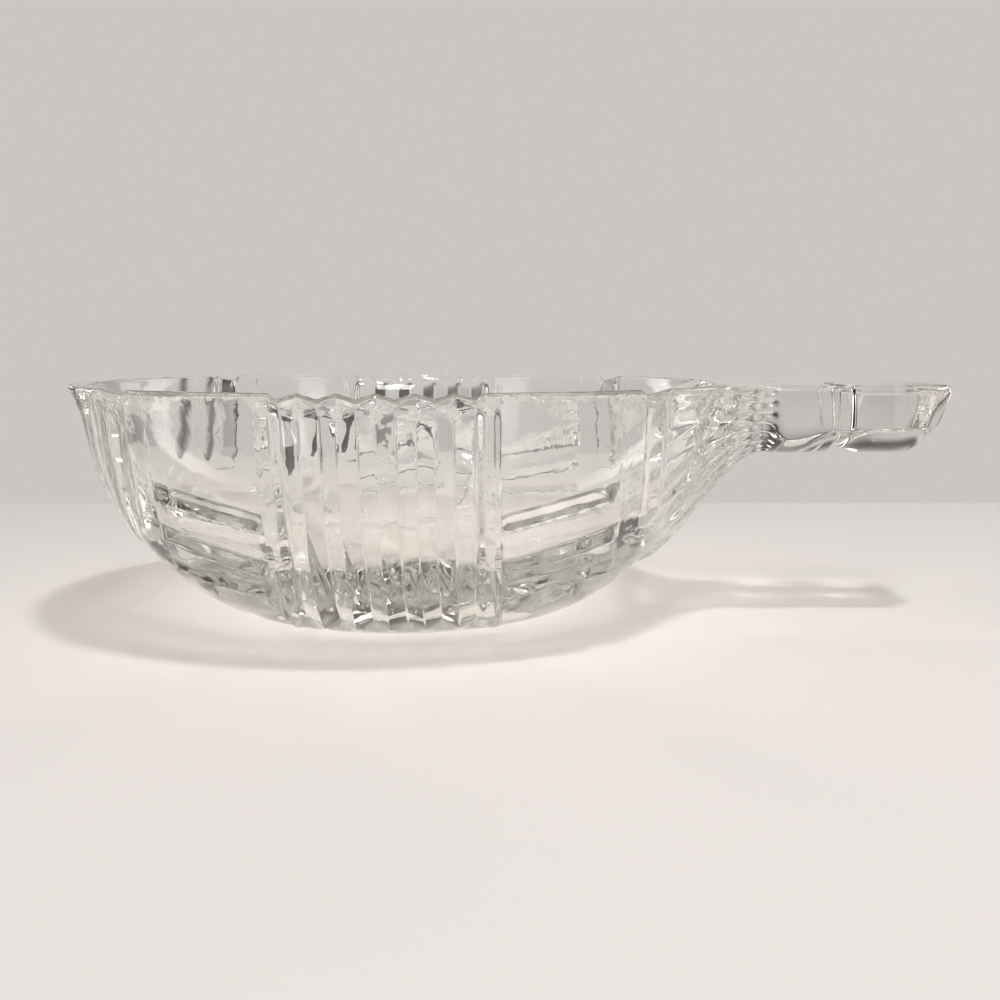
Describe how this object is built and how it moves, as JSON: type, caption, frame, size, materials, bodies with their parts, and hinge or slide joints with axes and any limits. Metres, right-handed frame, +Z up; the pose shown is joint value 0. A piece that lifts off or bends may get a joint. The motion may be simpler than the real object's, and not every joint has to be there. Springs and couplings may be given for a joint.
{
  "type": "handled glass serving dish",
  "caption": "Round shallow bowl in clear pressed glass with upright ribs, stepped panels and one solid side handle, for serving relishes, sweets or sauces.",
  "frame": {"origin": "middle of the flat underside of the base, on the bowl's axis, where the dish stands on the table", "axes": "+Z up along the bowl's axis, +X along the handle towards its tip, +Y to the back of the dish"},
  "size_m": [0.1751, 0.131, 0.046],
  "materials": {
    "clear_glass": "clear fire-polished pressed glass with a faint grey-green tint where it is thick"
  },
  "bodies": {
    "root": {"base_disc": "clear_glass", "ribbed_panel_front": "clear_glass", "ribbed_panel_back": "clear_glass", "stepped_panel_front_right": "clear_glass", "stepped_panel_back_right": "clear_glass", "stepped_panel_front_left": "clear_glass", "stepped_panel_back_left": "clear_glass", "end_panel_left": "clear_glass", "end_panel_handle": "clear_glass", "handle_neck": "clear_glass", "handle_grip": "clear_glass"}
  },
  "joints": []
}
